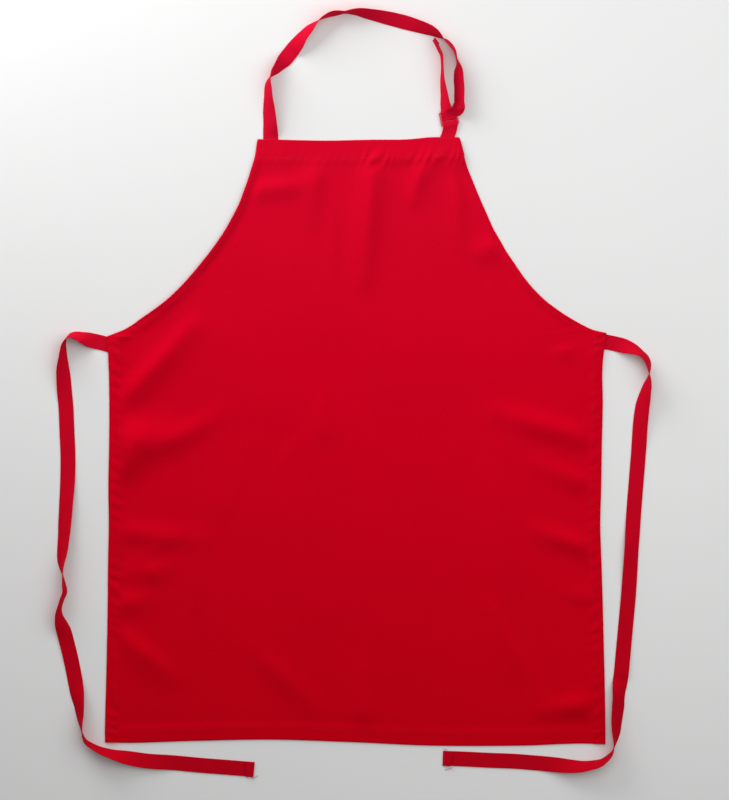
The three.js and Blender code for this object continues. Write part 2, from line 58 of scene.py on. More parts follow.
bpy.context.scene.camera = overhead


def finish_of(name, color, roughness):
    """A material with its shader node, ready for its pattern."""
    material = bpy.data.materials.new(name)
    material.use_nodes = True
    shader = material.node_tree.nodes["Principled BSDF"]
    shader.inputs["Base Color"].default_value = (*color, 1)
    shader.inputs["Roughness"].default_value = roughness
    return material, material.node_tree, shader


def node(tree, kind, inputs=None, **settings):
    made = tree.nodes.new(kind)
    for name, value in settings.items():
        setattr(made, name, value)
    for name, value in (inputs or {}).items():
        if isinstance(value, bpy.types.NodeSocket):
            tree.links.new(value, made.inputs[name])
        else:
            made.inputs[name].default_value = value
    return made


# Board: matt white paint, a little uneven, plain otherwise.
board_size = 12.0
bm = bmesh.new()
bmesh.ops.create_grid(bm, x_segments=1, y_segments=1, size=board_size / 2)
bmesh.ops.translate(bm, vec=(0, 0, -0.2 * mm), verts=bm.verts)
board_mesh = bpy.data.meshes.new("board")
bm.to_mesh(board_mesh)
bm.free()
board = bpy.data.objects.new("board", board_mesh)
bpy.context.collection.objects.link(board)
paint, tree, shader = finish_of("white_paint", (0.80, 0.80, 0.80), 0.75)
place = node(tree, "ShaderNodeTexCoord")
patches = node(tree, "ShaderNodeTexNoise", {"Vector": place.outputs["Object"], "Scale": 3.0, "Detail": 3.0})
tone = node(tree, "ShaderNodeMix", {"Factor": patches.outputs["Fac"]}, data_type="RGBA")
tone.inputs["A"].default_value = (0.79, 0.79, 0.79, 1)
tone.inputs["B"].default_value = (0.815, 0.815, 0.81, 1)
tree.links.new(tone.outputs["Result"], shader.inputs["Base Color"])
board_mesh.materials.append(paint)


def window(name, at, size, power, aim=(0, 0, 0), color=(1, 1, 1)):
    light = bpy.data.lights.new(name, "AREA")
    light.shape = "RECTANGLE"
    light.size, light.size_y = size
    light.energy = power
    light.color = color
    lamp = bpy.data.objects.new(name, light)
    lamp.location = at
    lamp.rotation_euler = (Vector(aim) - Vector(at)).to_track_quat("-Z", "Y").to_euler()
    lamp.visible_camera = False
    bpy.context.collection.objects.link(lamp)


window("window", (-0.94, 1.32, 0.60), (1.3, 1.0), 22.6, aim=(-0.1, 0.1, 0))
window("room", (0.58, 0.35, 1.2), (2.0, 2.0), 15.7, aim=(0, -0.1, 0))
sky = bpy.data.worlds.new("room_light")
sky.use_nodes = True
sky.node_tree.nodes["Background"].inputs["Color"].default_value = (1, 1, 1, 1)
sky.node_tree.nodes["Background"].inputs["Strength"].default_value = 0.25
bpy.context.scene.world = sky
bpy.context.scene.view_settings.view_transform = "Standard"

# Panel: bib and skirt in one piece of red cotton twill. Every edge is turned to the back twice and sewn down, so
# the hems are thicker than the single cloth, draw it in small puckers and leave a sunk line where the thread runs.
# It was pressed down its middle, and lies with soft creases that run in from its sides.
cloth = 0.6 * mm
hem_layers = 1.0 * mm
top_hem, bottom_hem, side_hem, armhole_hem = 30 * mm, 20 * mm, 17 * mm, 8 * mm
sewn_at = 0.86

# Edges of the cloth in mm: height, x at the left, x at the right; then each waist corner, and the two long edges
armhole_rows = [
    (357, -133.4, 148.0), (349.2, -134.9, 150.5), (332.4, -137.3, 155.1), (315.6, -142.2, 160.2),
    (298.8, -147.4, 167), (282, -153.4, 173.8), (265.2, -159.7, 181), (248.4, -168.3, 188.5),
    (231.6, -177.5, 195.9), (214.8, -188.4, 205.5), (198, -200.5, 215.1), (181.2, -213.9, 226.5),
    (164.4, -227.9, 237.9), (147.6, -243.3, 251.5), (130.8, -261.2, 268.4), (122.4, -272, 279),
    (114, -283.5, 290.7), (105.6, -295.9, 304), (97.2, -307.4, 318.8), (88.8, -321.7, 336.7),
]
side_rows = [
    (39.8, -342.3, 349.3), (-16.2, -341.2, 349.6), (-72.2, -341.6, 348.3), (-128.2, -342.6, 347.5),
    (-184.2, -342, 346.1), (-240.2, -343.1, 347.9), (-296.2, -343.5, 349.6), (-352.2, -344.5, 351),
    (-408.2, -345.8, 352.4), (-464.2, -347.3, 353.2), (-494, -347.3, 353.2),
]
waist_left, waist_right = (80.1, -344.1), (84.6, 354.9)
top_edge = [(-134, 355.9), (-51.9, 354.1), (-26.7, 354.1), (23.7, 355.2), (74.1, 355.6), (107.7, 358.4), (148, 358.4)]
bottom_edge = [
    (-347, -488.6), (-306.7, -489.1), (-228.3, -486.6), (-116.3, -484.6), (0, -488.2), (107.7, -492.9),
    (239.3, -492.9), (313.5, -490.1), (353, -491.1),
]


def steady(rows, at):
    """Value of a two-column table at a place, on a smooth curve through its rows, kept level past its ends."""
    rising = rows[-1][0] > rows[0][0]
    ordered = rows if rising else rows[::-1]
    if at <= ordered[0][0]:
        return ordered[0][1]
    if at >= ordered[-1][0]:
        return ordered[-1][1]
    i = 1
    while ordered[i][0] < at:
        i += 1
    (x0, y0), (x1, y1) = ordered[i - 1], ordered[i]
    before = ordered[i - 2] if i > 1 else (2 * x0 - x1, 2 * y0 - y1)
    after = ordered[i + 1] if i + 1 < len(ordered) else (2 * x1 - x0, 2 * y1 - y0)
    share = (at - x0) / (x1 - x0)
    slope0 = (y1 - before[1]) / (x1 - before[0]) * (x1 - x0)
    slope1 = (after[1] - y0) / (after[0] - x0) * (x1 - x0)
    s2, s3 = share * share, share ** 3
    return (
        (2 * s3 - 3 * s2 + 1) * y0 + (s3 - 2 * s2 + share) * slope0 + (3 * s2 - 2 * s3) * y1 + (s3 - s2) * slope1
    )


edges = {
    -1: {
        "corner": waist_left[0],
        "armhole": [(y, left) for y, left, right in armhole_rows] + [waist_left],
        "side": [waist_left] + [(y, left) for y, left, right in side_rows],
    },
    1: {
        "corner": waist_right[0],
        "armhole": [(y, right) for y, left, right in armhole_rows] + [waist_right],
        "side": [waist_right] + [(y, right) for y, left, right in side_rows],
    },
}


def edge_x(y, side):
    """x of the cloth's edge, in mm, at a height in mm; side is -1 at the left and 1 at the right."""
    run = edges[side]
    return steady(run["armhole"] if y > run["corner"] else run["side"], y)


def edge_slant(y, side):
    """How much longer a level step is than the square one from the edge."""
    if y <= edges[side]["corner"]:
        return 1.0
    probe = 1.5
    low = max(y - probe, edges[side]["corner"] + 0.01)
    return math.hypot(1, (edge_x(y + probe, side) - edge_x(low, side)) / (y + probe - low))


def hem_width(y, side):
    return (side_hem if y <= edges[side]["corner"] else armhole_hem) / mm


# Ridges of the lying cloth, in mm: x and y of both ends, height, and half width on the lit and on the dark side
creases = [
    (-230, 91, -338, -28, 8.9, 13, 19), (-199, -35, -274, -76, 4.5, 14, 16), (-280, -62, -350, -66, 11.4, 26, 25),
    (-230, -203, -350, -191, 4.0, 15, 15), (-246, -195, -350, -273, 1.4, 11, 11), (-268, -246, -296, -252, 4.7, 12, 18),
    (-296, -290, -350, -298, 5.5, 14, 16), (-333, -331, -258, -391, 5.1, 12, 19), (-132, -364, -59, -434, 3.4, 16, 16),
    (18, -406, 18, -495, 3.2, 23, 12), (29, 351, 16, 174, 10.3, 16, 17), (11, 146, 44, 6, 1.7, 7, 17),
    (-50, 356, -55, 253, 5.1, 14, 14), (-151, 283, -69, 292, 4.8, 12, 16), (106, 356, 86, 277, 7.7, 9, 14),
    (141, 311, 150, 212, 4.7, 11, 13), (206, 211, 188, 203, 11.0, 15, 19), (283, 56, 306, 62, 2.9, 7, 15),
    (211, -29, 344, -67, 7.5, 15, 18), (266, -101, 346, -132, 5.2, 12, 18), (263, -193, 352, -223, 7.0, 12, 15),
    (321, -284, 352, -288, 5.3, 14, 11), (280, -440, 342, -433, 6.8, 14, 16), (82, -461, 131, -492, 2.3, 7, 23),
    (-45, -2, -51, -60, 2.1, 7, 14), (-42, -34, -40, -68, 1.7, 7, 15), (-69, -61, -104, -102, 0.9, 10, 10),
    (-165, -129, -188, -185, 1.1, 28, 10), (-215, -190, -218, -297, 2.0, 7, 11), (189, -80, 212, -199, 2.1, 9, 11),
    (207, -196, 222, -264, 1.8, 15, 13), (201, -313, 254, -407, 2.9, 24, 9), (-289, 101, -229, 152, 11.0, 12, 7),
    (-350, -125, -300, -78, 11.0, 28, 20), (-350, 66, -291, 105, 7.7, 10, 7), (-30, 262, -26, 170, 1.8, 12, 9),
]


def crease_height(x, y):
    rise = 0.0
    for x1, y1, x2, y2, height, lit, dark in creases:
        dx, dy = x2 - x1, y2 - y1
        length = math.hypot(dx, dy)
        dx, dy = dx / length, dy / length
        along = (x - x1) * dx + (y - y1) * dy
        off = (x - x1) * -dy + (y - y1) * dx
        past = max(-along, along - length, 0) / (1.6 * lit)
        if abs(off) > 3 * max(lit, dark) or past > 3:
            continue
        # The lit side looks up and to the left
        upper = off * (-dy * -0.5 + dx * 0.87)
        wide = lit if upper > 0 else dark
        taper = 0.45 + 0.55 * math.sin(math.pi * min(max(along / length, 0), 1))
        rise += height * taper * math.exp(-((off / wide) ** 2) - past * past)
    return rise


# Seats of the sewn tape ends that lift the cloth from below, in mm: middle, half sizes and layers of tape
seats = [(-341, 66, 10, 15, 1), (344, 68, 10, 15, 1), (-115, 342, 11, 14, 1), (131.4, 344, 11, 14, 2)]
tape_layer = 1.3


def ease(value, low, high):
    share = min(max((value - low) / (high - low), 0), 1)
    return share * share * (3 - 2 * share)


def seat_height(x, y):
    lift = 0.0
    for sx, sy, half_x, half_y, layers in seats:
        fall = (1 - ease(abs(x - sx) - half_x, 2, 30)) * (1 - ease(abs(y - sy) - half_y, 2, 30))
        lift = max(lift, layers * tape_layer * fall)
    return lift


def pucker(along, inward, pitch, seed):
    """Small slanting tucks that a seam's thread draws up, from -1 to 1."""
    drift = 1.3 * noise.noise(Vector((along / (2.3 * pitch), seed, 0)))
    strength = 0.55 + 0.9 * noise.noise(Vector((along / (3.5 * pitch), seed, 5)))
    return max(strength, 0.1) * math.sin(2 * math.pi * ((along + 0.5 * inward) / pitch + drift))


def cloth_place(x, y):
    """For each of the four edges: distance from it in mm, hem width, place along it, pucker pitch and depth, curl."""
    rims = []
    for side in (-1, 1):
        square = abs(edge_x(y, side) - x) / edge_slant(y, side)
        on_armhole = y > edges[side]["corner"]
        along = y * edge_slant(y, side) if on_armhole else y
        pitch, deep = (10, 0.4) if on_armhole else (17, 1.25)
        curl = 4.0 * ease(y, 85, 125) * (1 - ease(y, 280, 350)) if side < 0 else 1.5 * ease(y, 88, 110) * (1 - ease(y, 130, 220))
        rims.append((square, hem_width(y, side), along, pitch, deep, curl, side))
    rims.append((y - steady(bottom_edge, x), bottom_hem / mm, x, 19, 0.25, 0, 3))
    rims.append((steady(top_edge, x) - y, top_hem / mm, x, 13, 0.3 + 1.5 * ease(x, 5, 30), 0, 4))
    return rims


def cloth_top(x, y):
    """Height of the cloth's upper face, and how much of the hems' extra layers lie there, in mm."""
    rims = cloth_place(x, y)
    hem = 0.0
    turned = 0.0
    sunk = 0.0
    tucks = 0.0
    inner = 1.0
    for away, wide, along, pitch, deep, curl, seed in rims:
        hem = max(hem, 1 - ease(away, wide - 2, wide + 7))
        turned = max(turned, 1 - ease(away, wide - 0.5, wide + 1.1))
        line = sewn_at * wide
        sunk = max(sunk, math.exp(-(((away - line) / 0.9) ** 2)))
        held = (0.6 if seed < 2 else 0.9) * wide
        band = math.exp(-(((away - held) / (0.35 * wide + 2)) ** 2))
        tucks += deep * band * (1 + pucker(along, away, pitch, seed))
        tucks += curl * (1 - ease(away, 0, wide + 4))
        inner = min(inner, ease(away, 0.3 * wide, wide + 16) if seed < 2 else ease(away, 0.5 * wide, wide + 26))
    edge_away = min(rim[0] for rim in rims)
    rolled = max(1 - edge_away / 1.1, 0)
    flow = Vector((x / 95, y / 95, 1.7))
    swell = 0.9 * noise.noise(flow) + 0.3 * noise.noise(flow * 2.3) + 0.06 * noise.noise(flow * 5.6)
    lying = (0.9 + swell + crease_height(x, y)) * inner
    height = seat_height(x, y) + cloth / mm + max(lying, 0.15 * inner)
    layers = turned * (1 - rolled * 0.7) * (1 - 0.25 * sunk)
    height += hem * hem_layers / mm - 0.12 * sunk + tucks - 0.75 * rolled * rolled
    return max(height, (cloth + layers * hem_layers) / mm), layers


# Rows of the grid up the cloth and columns across it, closer together along the hems and at the waist corners
row_bands = [(-466, 58, 122), (58, 80.1, 9), (80.1, 84.6, 3), (84.6, 140, 26), (140, 322, 54)]
hem_shares = [0.0, 0.022, 0.065, 0.2, 0.38, 0.56, 0.72, 0.8, 0.86, 0.92, 0.99, 1.06, 1.2]
rows = [-490 + share * bottom_hem / mm for share in hem_shares]
for low, high, count in row_bands:
    rows += [low + (high - low) * k / count for k in range(1, count + 1)]
rows += [356 - share * top_hem / mm for share in reversed(hem_shares[:-1])]
inner_columns = 138
bm = bmesh.new()
across_cells = inner_columns + 2 * (len(hem_shares) - 1)
bmesh.ops.create_grid(bm, x_segments=across_cells, y_segments=len(rows) - 1, size=0.5)
columns = []
for y in rows:
    left, right = edge_x(y, -1), edge_x(y, 1)
    in_left, in_right = (
        side_hem / mm + (hem_width(y, side) * edge_slant(y, side) - side_hem / mm) * ease(y, edges[side]["corner"], edges[side]["corner"] + 24)
        for side in (-1, 1)
    )
    run = [left + share * in_left for share in hem_shares]
    start, stop = run[-1], right - hem_shares[-1] * in_right
    run += [start + (stop - start) * k / inner_columns for k in range(1, inner_columns)]
    run += [right - share * in_right for share in reversed(hem_shares)]
    columns.append(run)
thick = bm.verts.layers.deform.verify()
for vert in bm.verts:
    i = round((vert.co.x + 0.5) * across_cells)
    j = round((vert.co.y + 0.5) * (len(rows) - 1))
    x, y = columns[j][i], rows[j]
    near_bottom, near_top = 1 - ease(y, -490, -440), ease(y, 316, 356)
    y += near_bottom * (steady(bottom_edge, x) + 490) + near_top * (steady(top_edge, x) - 356)
    height, layers = cloth_top(x, y)
    vert.co = (x * mm, y * mm, height * mm)
    vert[thick][0] = layers
for face in bm.faces:
    face.smooth = True
panel_mesh = bpy.data.meshes.new("apron_panel")
bm.to_mesh(panel_mesh)
bm.free()
panel = bpy.data.objects.new("apron_panel", panel_mesh)
bpy.context.collection.objects.link(panel)
panel.vertex_groups.new(name="hem_layers")
wall = panel.modifiers.new("wall", "SOLIDIFY")
wall.thickness = cloth + hem_layers
wall.offset = -1
wall.use_rim = True
wall.vertex_group = "hem_layers"
wall.thickness_vertex_group = cloth / (cloth + hem_layers)


def patchy_red_with_painted_light(tree, place, fade, reds):
    """Red that is darker at the skirt and lighter and rosier toward the bib, as painted window light and painted sheen,
    and a little uneven at random; returns its colour socket.
    """
    spot = node(tree, "ShaderNodeSeparateXYZ", {"Vector": place.outputs["Object"]})
    climb = node(tree, "ShaderNodeMapRange", {"Value": spot.outputs["Y"], "From Min": -0.4, "From Max": 0.38})
    # Painted light: the ramp makes the red lighter toward the bib, where more window light falls, and rosier there as
    # painted sheen
    ramp = node(tree, "ShaderNodeValToRGB", {"Fac": climb.outputs["Result"]})
    while len(ramp.color_ramp.elements) < len(reds):
        ramp.color_ramp.elements.new(0.5)
    for k, red in enumerate(reds):
        ramp.color_ramp.elements[k].position = k / (len(reds) - 1)
        ramp.color_ramp.elements[k].color = (*red, 1)
    patchy = node(tree, "ShaderNodeMapRange", {"Value": fade.outputs["Fac"], "To Min": 0.97, "To Max": 1.04})
    return node(
        tree, "ShaderNodeVectorMath", {0: ramp.outputs["Color"], "Scale": patchy.outputs["Result"]}, operation="SCALE",
    ).outputs["Vector"]


twill, tree, shader = finish_of("red_twill", (0.60, 0.0005, 0.014), 0.9)
shader.inputs["Specular IOR Level"].default_value = 0.01
shader.inputs["Sheen Weight"].default_value = 0.05
shader.inputs["Sheen Roughness"].default_value = 0.45
shader.inputs["Sheen Tint"].default_value = (1.0, 0.01, 0.10, 1)
place = node(tree, "ShaderNodeTexCoord")
ribs = node(
    tree, "ShaderNodeTexWave", {"Vector": place.outputs["Object"], "Scale": 620.0, "Distortion": 0.6, "Detail": 1.0},
    wave_type="BANDS", bands_direction="DIAGONAL",
)
slubs = node(tree, "ShaderNodeTexNoise", {"Vector": place.outputs["Object"], "Scale": 420.0, "Detail": 2.0})
fade = node(tree, "ShaderNodeTexNoise", {"Vector": place.outputs["Object"], "Scale": 7.0, "Detail": 4.0})
# Painted light: the cloth's red is lighter and rosier toward the bib, as painted window light and painted sheen, with
# random patches
base = patchy_red_with_painted_light(tree, place, fade, ((0.600, 0.0001, 0.0082), (0.635, 0.0001, 0.0128), (0.655, 0.0019, 0.0215)))
grain = node(tree, "ShaderNodeMapRange", {"Value": slubs.outputs["Fac"], "To Min": 0.95, "To Max": 1.05})
groove = node(tree, "ShaderNodeMapRange", {"Value": ribs.outputs["Fac"], "To Min": 0.9, "To Max": 1.04})
both = node(tree, "ShaderNodeMath", {0: grain.outputs["Result"], 1: groove.outputs["Result"]}, operation="MULTIPLY")
# The painted light and patches, times the cloth's weave and slub pattern
painted_light_and_weave_red = node(tree, "ShaderNodeVectorMath", {0: base, "Scale": both.outputs["Value"]}, operation="SCALE")
tree.links.new(painted_light_and_weave_red.outputs["Vector"], shader.inputs["Base Color"])
weave = node(tree, "ShaderNodeBump", {"Height": ribs.outputs["Fac"], "Strength": 0.35, "Distance": 0.12 * mm})
tree.links.new(weave.outputs["Normal"], shader.inputs["Normal"])
panel_mesh.materials.append(twill)
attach(panel, "root")
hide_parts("panel")

# Hem stitching: one line of red thread round every hem, a box of it over each sewn tape end, about three stitches
# to the centimetre, sunk into the cloth.
stitch_length, stitch_wide, stitch_gap = 2.3, 0.55, 0.8


def sew(seam, start, stop, rise=0.1):
    """A straight run of stitches on the panel between two points in mm."""
    run = math.hypot(stop[0] - start[0], stop[1] - start[1])
    count = max(round(run / (stitch_length + stitch_gap)), 1)
    turn = math.atan2(stop[1] - start[1], stop[0] - start[0])
    bm = bmesh.new()
    for k in range(count):
        share = (k + 0.5) / count
        x, y = start[0] + (stop[0] - start[0]) * share, start[1] + (stop[1] - start[1]) * share
        height = cloth_top(x, y)[0] + rise
        put = Matrix.Translation((x * mm, y * mm, height * mm)) @ Matrix.Rotation(turn, 4, "Z")
        put = put @ Matrix.Diagonal((stitch_length / 2, stitch_wide / 2, stitch_wide / 2.6, 1)) @ Matrix.Scale(mm, 4)
        bmesh.ops.create_uvsphere(bm, u_segments=6, v_segments=4, radius=1, matrix=put)
    stretch = bpy.data.meshes.new("stretch")
    bm.to_mesh(stretch)
    bm.free()
    seam.from_mesh(stretch)
    bpy.data.meshes.remove(stretch)


def inset_point(y, side, share):
    slant = edge_slant(y, side)
    return (edge_x(y, side) - side * share * hem_width(y, side) * slant, y)


bm = bmesh.new()
for side in (-1, 1):
    corner = edges[side]["corner"]
    step = 24
    y = -490 + 0.6 * bottom_hem / mm
    while y < corner - 4:
        above = min(y + step, corner - 4)
        sew(bm, inset_point(y, side, sewn_at), inset_point(above, side, sewn_at))
        y = above
    y = corner + 5
    while y < 355:
        above = min(y + (3 if y < 130 else 9), 355)
        sew(bm, inset_point(y, side, 0.8), inset_point(above, side, 0.8))
        y = above
for edge, inward, first, last in ((bottom_edge, sewn_at * 20, -344, 350), (top_edge, -sewn_at * 30, -134, 153)):
    x = first
    while x < last:
        beyond = min(x + 25, last)
        sew(bm, (x, steady(edge, x) + inward), (beyond, steady(edge, beyond) + inward))
        x = beyond
for sx, sy, half_x, half_y in ((-115, 342.5, 9, 12), (131.4, 344, 9, 12), (-334.5, 65, 8, 8), (345, 69, 7.5, 9)):
    box = [(sx - half_x, sy - half_y), (sx + half_x, sy - half_y), (sx + half_x, sy + half_y), (sx - half_x, sy + half_y)]
    for k in range(4):
        sew(bm, box[k], box[(k + 1) % 4])
    sew(bm, box[0], box[2])
    sew(bm, box[1], box[3])
for face in bm.faces:
    face.smooth = True
stitch_mesh = bpy.data.meshes.new("hem_stitching")
bm.to_mesh(stitch_mesh)
bm.free()
stitching = bpy.data.objects.new("hem_stitching", stitch_mesh)
bpy.context.collection.objects.link(stitching)
thread, tree, shader = finish_of("red_thread", (0.56, 0.004, 0.022), 0.6)
shader.inputs["Specular IOR Level"].default_value = 0.2
place = node(tree, "ShaderNodeTexCoord")
plies = node(tree, "ShaderNodeTexWave", {"Vector": place.outputs["Object"], "Scale": 900.0}, bands_direction="DIAGONAL")
twist = node(tree, "ShaderNodeBump", {"Height": plies.outputs["Fac"], "Strength": 0.3, "Distance": 0.08 * mm})
tree.links.new(twist.outputs["Normal"], shader.inputs["Normal"])
stitch_mesh.materials.append(thread)
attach(stitching, "root")

# Waist ties: two cotton herringbone tapes, each sewn behind a waist corner. They lie flat along most of their way
# and stand on their lower edge where they are turned over. Their free ends are folded over and sewn.
tape_wide, tape_thick = 21.0, 0.9

# Each run in mm and degrees: x, y and the tape's turn about its own line, where 90 is on edge
left_tie_run = [
    (-345.9, 69.3, 0), (-357.1, 72.1, 0), (-368.3, 74.7, 12), (-379.5, 78.6, 44), (-387.9, 81, 58),
    (-394.9, 81.5, 73), (-400.2, 77.6, 85), (-402.9, 72.3, 95), (-404.4, 66.4, 104), (-405, 58, 113),
    (-405.4, 46.8, 126), (-405.7, 35.6, 143), (-405.1, 23, 158), (-403.9, 2, 174), (-401.9, -20.4, 180),
    (-400.5, -54, 180), (-399.1, -87.6, 180), (-399.5, -121.2, 186), (-401.1, -149.2, 198), (-402.9, -177.2, 205),
    (-404.4, -199.6, 215), (-406.7, -222, 224), (-407.9, -236, 238), (-407.1, -245.8, 254), (-405.6, -255.6, 268),
    (-404, -266.8, 277), (-402.8, -278, 284), (-407.1, -289.2, 282), (-410.5, -300.4, 284), (-410.9, -311.6, 297),
    (-408.1, -322.8, 323), (-404.4, -334, 347), (-401.1, -346.6, 355), (-395.9, -367.6, 357), (-391.3, -390, 361),
    (-387.1, -412.4, 372), (-383.3, -434.8, 402), (-381.8, -448.8, 416), (-380.9, -460, 430), (-379.2, -471.2, 443),
    (-376.2, -481.7, 453), (-371.1, -488.7, 462), (-359.9, -495.4, 468), (-348.7, -500.6, 475), (-331.9, -505.6, 489),
    (-315.1, -509.6, 511), (-298.3, -512.9, 524), (-281.5, -515, 530), (-247.9, -517.3, 540), (-214.3, -520.5, 540),
    (-180.7, -523.1, 540), (-139.4, -526.4, 540),
]
right_tie_run = [
    (354.1, 72.1, 0), (365.3, 69.8, 0), (376.5, 67.1, -8), (387.7, 63.6, -33), (396.1, 60, -50),
    (403.1, 55.8, -63), (409.2, 49.6, -63), (412.7, 41.2, -67), (413.7, 32.8, -76), (413.7, 25.8, -89),
    (412.9, 18.8, -105), (411.1, 10.4, -121), (409, 2, -131), (406.6, -9.2, -147), (404.5, -20.4, -157),
    (402.1, -42.8, -169), (400.7, -65.2, -176), (399.2, -87.6, -180), (393.8, -154.8, -180), (391.5, -188.4, -185),
    (389.4, -222, -195), (387.3, -255.6, -187), (384.9, -289.2, -182), (378.7, -356.4, -178), (375.6, -390, -175),
    (373.7, -404, -184), (372.1, -415.2, -205), (371.3, -426.4, -214), (370.7, -437.6, -212), (369.5, -448.8, -216),
    (368.4, -460, -223), (367.9, -471.2, -231), (367.1, -481, -243), (365.7, -490.8, -259), (363.3, -499.5, -270),
    (359.1, -506.2, -279), (351.3, -513.2, -286), (342.9, -517.4, -295), (331.7, -519.9, -303), (317.7, -521.6, -315),
    (300.9, -521.2, -332), (284.1, -519.8, -350), (258.9, -517.5, -360), (225.3, -514.9, -360), (191.7, -513.6, -360),
    (158.1, -511.9, -360), (126.6, -510.7, -360),
]


def lying_height(roll):
    """Height in mm of the middle of a tape that stands on its lower edge at that roll."""
    r = math.radians(roll)
    return (tape_wide * abs(math.sin(r)) + tape_thick * abs(math.cos(r))) / 2


def laid(run, pace=3.0):
    """Sections along a run on the board, on a smooth curve through its rows: middle and across direction, in mm."""
    fine = []
    for i in range(len(run) - 1):
        p1, p2 = Vector(run[i]), Vector(run[i + 1])
        p0 = Vector(run[i - 1]) if i else 2 * p1 - p2
        p3 = Vector(run[i + 2]) if i + 2 < len(run) else 2 * p2 - p1
        count = max(round(math.dist(p1[:2], p2[:2]) / pace), 1)
        for k in range(count + (i == len(run) - 2)):
            t = k / count
            fine.append(
                0.5 * (2 * p1 + (p2 - p0) * t + (2 * p0 - 5 * p1 + 4 * p2 - p3) * t * t
                       + (3 * p1 - p0 - 3 * p2 + p3) * t ** 3)
            )
    sections = []
    for i, (x, y, roll) in enumerate(fine):
        ahead, behind = fine[min(i + 1, len(fine) - 1)], fine[max(i - 1, 0)]
        heading = Vector((ahead[0] - behind[0], ahead[1] - behind[1], 0)).normalized()
        r = math.radians(roll)
        across = Vector((-heading.y * math.cos(r), heading.x * math.cos(r), math.sin(r)))
        sections.append((Vector((x, y, lying_height(roll))), across))
    return sections


def tape_piece(name, sections, cupped=0.5):
    """A tape through its sections, as a strip that bows a little across, with its own map of metres along it."""
    cells = 10
    bm = bmesh.new()
    bmesh.ops.create_grid(bm, x_segments=cells, y_segments=len(sections) - 1, size=0.5)
    reach = [0.0]
    for before, after in zip(sections, sections[1:]):
        reach.append(reach[-1] + (after[0] - before[0]).length)
    ticket = bm.verts.layers.float_vector.new("ticket")
    for vert in bm.verts:
        share = vert.co.x + 0.5
        i = round((vert.co.y + 0.5) * (len(sections) - 1))
        middle, across = sections[i]
        heading = sections[min(i + 1, len(sections) - 1)][0] - sections[max(i - 1, 0)][0]
        face = heading.normalized().cross(across).normalized()
        standing = abs(across.z)
        bow = cupped * standing * (1 - (2 * share - 1) ** 2)
        ripple = 0.35 * noise.noise(Vector((reach[i] / 16, share * 2, 3.1))) * (0.3 + standing)
        put = middle + across * (0.5 - share) * tape_wide + face * (bow + ripple)
        vert[ticket] = (share * tape_wide * mm, reach[i] * mm, 0)
        vert.co = put * mm
    maps = bm.loops.layers.uv.new("along_tape")
    for face in bm.faces:
        face.smooth = True
        for loop in face.loops:
            loop[maps].uv = loop.vert[ticket][:2]
    mesh = bpy.data.meshes.new(name)
    bm.to_mesh(mesh)
    bm.free()
    piece = bpy.data.objects.new(name, mesh)
    bpy.context.collection.objects.link(piece)
    wall = piece.modifiers.new("wall", "SOLIDIFY")
    wall.thickness = tape_thick * mm
    wall.offset = 0
    wall.use_rim = True
    soft = piece.modifiers.new("selvedge", "BEVEL")
    soft.width = 0.28 * mm
    soft.segments = 2
    soft.limit_method = "ANGLE"
    soft.angle_limit = math.radians(60)
    return piece, reach[-1]


tape_finish, tree, shader = finish_of("red_tape", (0.58, 0.0010, 0.015), 0.8)
shader.inputs["Specular IOR Level"].default_value = 0.03
shader.inputs["Sheen Weight"].default_value = 0.10
shader.inputs["Sheen Roughness"].default_value = 0.4
shader.inputs["Sheen Tint"].default_value = (1.0, 0.03, 0.15, 1)
place = node(tree, "ShaderNodeTexCoord")
along = node(tree, "ShaderNodeUVMap", uv_map="along_tape")
parts = node(tree, "ShaderNodeSeparateXYZ", {"Vector": along.outputs["UV"]})
mirrored = node(tree, "ShaderNodeMath", {0: parts.outputs["X"], 1: 2.625 * mm}, operation="PINGPONG")
slanted = node(tree, "ShaderNodeMath", {0: mirrored.outputs["Value"], 1: parts.outputs["Y"]}, operation="ADD")
counted = node(tree, "ShaderNodeMath", {0: slanted.outputs["Value"], 1: 2 * math.pi / (1.05 * mm)}, operation="MULTIPLY")
ribbed = node(tree, "ShaderNodeMath", {0: counted.outputs["Value"]}, operation="SINE")
fuzz = node(tree, "ShaderNodeTexNoise", {"Vector": along.outputs["UV"], "Scale": 500.0, "Detail": 2.0})
fade = node(tree, "ShaderNodeTexNoise", {"Vector": along.outputs["UV"], "Scale": 25.0, "Detail": 3.0})
# Painted light: the tape's red is lighter and rosier toward the bib, as painted window light and painted sheen, with
# random patches
base = patchy_red_with_painted_light(tree, place, fade, ((0.535, 0.0003, 0.0105), (0.600, 0.0012, 0.0170), (0.645, 0.0030, 0.0270)))
groove = node(
    tree, "ShaderNodeMapRange",
    {"Value": ribbed.outputs["Value"], "From Min": -1.0, "To Min": 0.88, "To Max": 1.05},
)
grain = node(tree, "ShaderNodeMapRange", {"Value": fuzz.outputs["Fac"], "To Min": 0.94, "To Max": 1.06})
both = node(tree, "ShaderNodeMath", {0: grain.outputs["Result"], 1: groove.outputs["Result"]}, operation="MULTIPLY")
# The painted light and patches, times the tape's herringbone ribs and fuzz
painted_light_and_weave_red = node(tree, "ShaderNodeVectorMath", {0: base, "Scale": both.outputs["Value"]}, operation="SCALE")
tree.links.new(painted_light_and_weave_red.outputs["Vector"], shader.inputs["Base Color"])
weave = node(tree, "ShaderNodeBump", {"Height": ribbed.outputs["Value"], "Strength": 0.4, "Distance": 0.1 * mm})
tree.links.new(weave.outputs["Normal"], shader.inputs["Normal"])


def seat_sections(edge_point, toward, length):
    """The sewn end of a tie behind the side hem, flat on the board, from its cut end out to the cloth's edge."""
    out = Vector((toward[0] - edge_point[0], toward[1] - edge_point[1], 0)).normalized()
    across = Vector((-out.y, out.x, 0))
    count = 5
    return [
        (Vector((*edge_point, tape_thick / 2)) - out * length * (1 - k / count), across) for k in range(count)
    ]


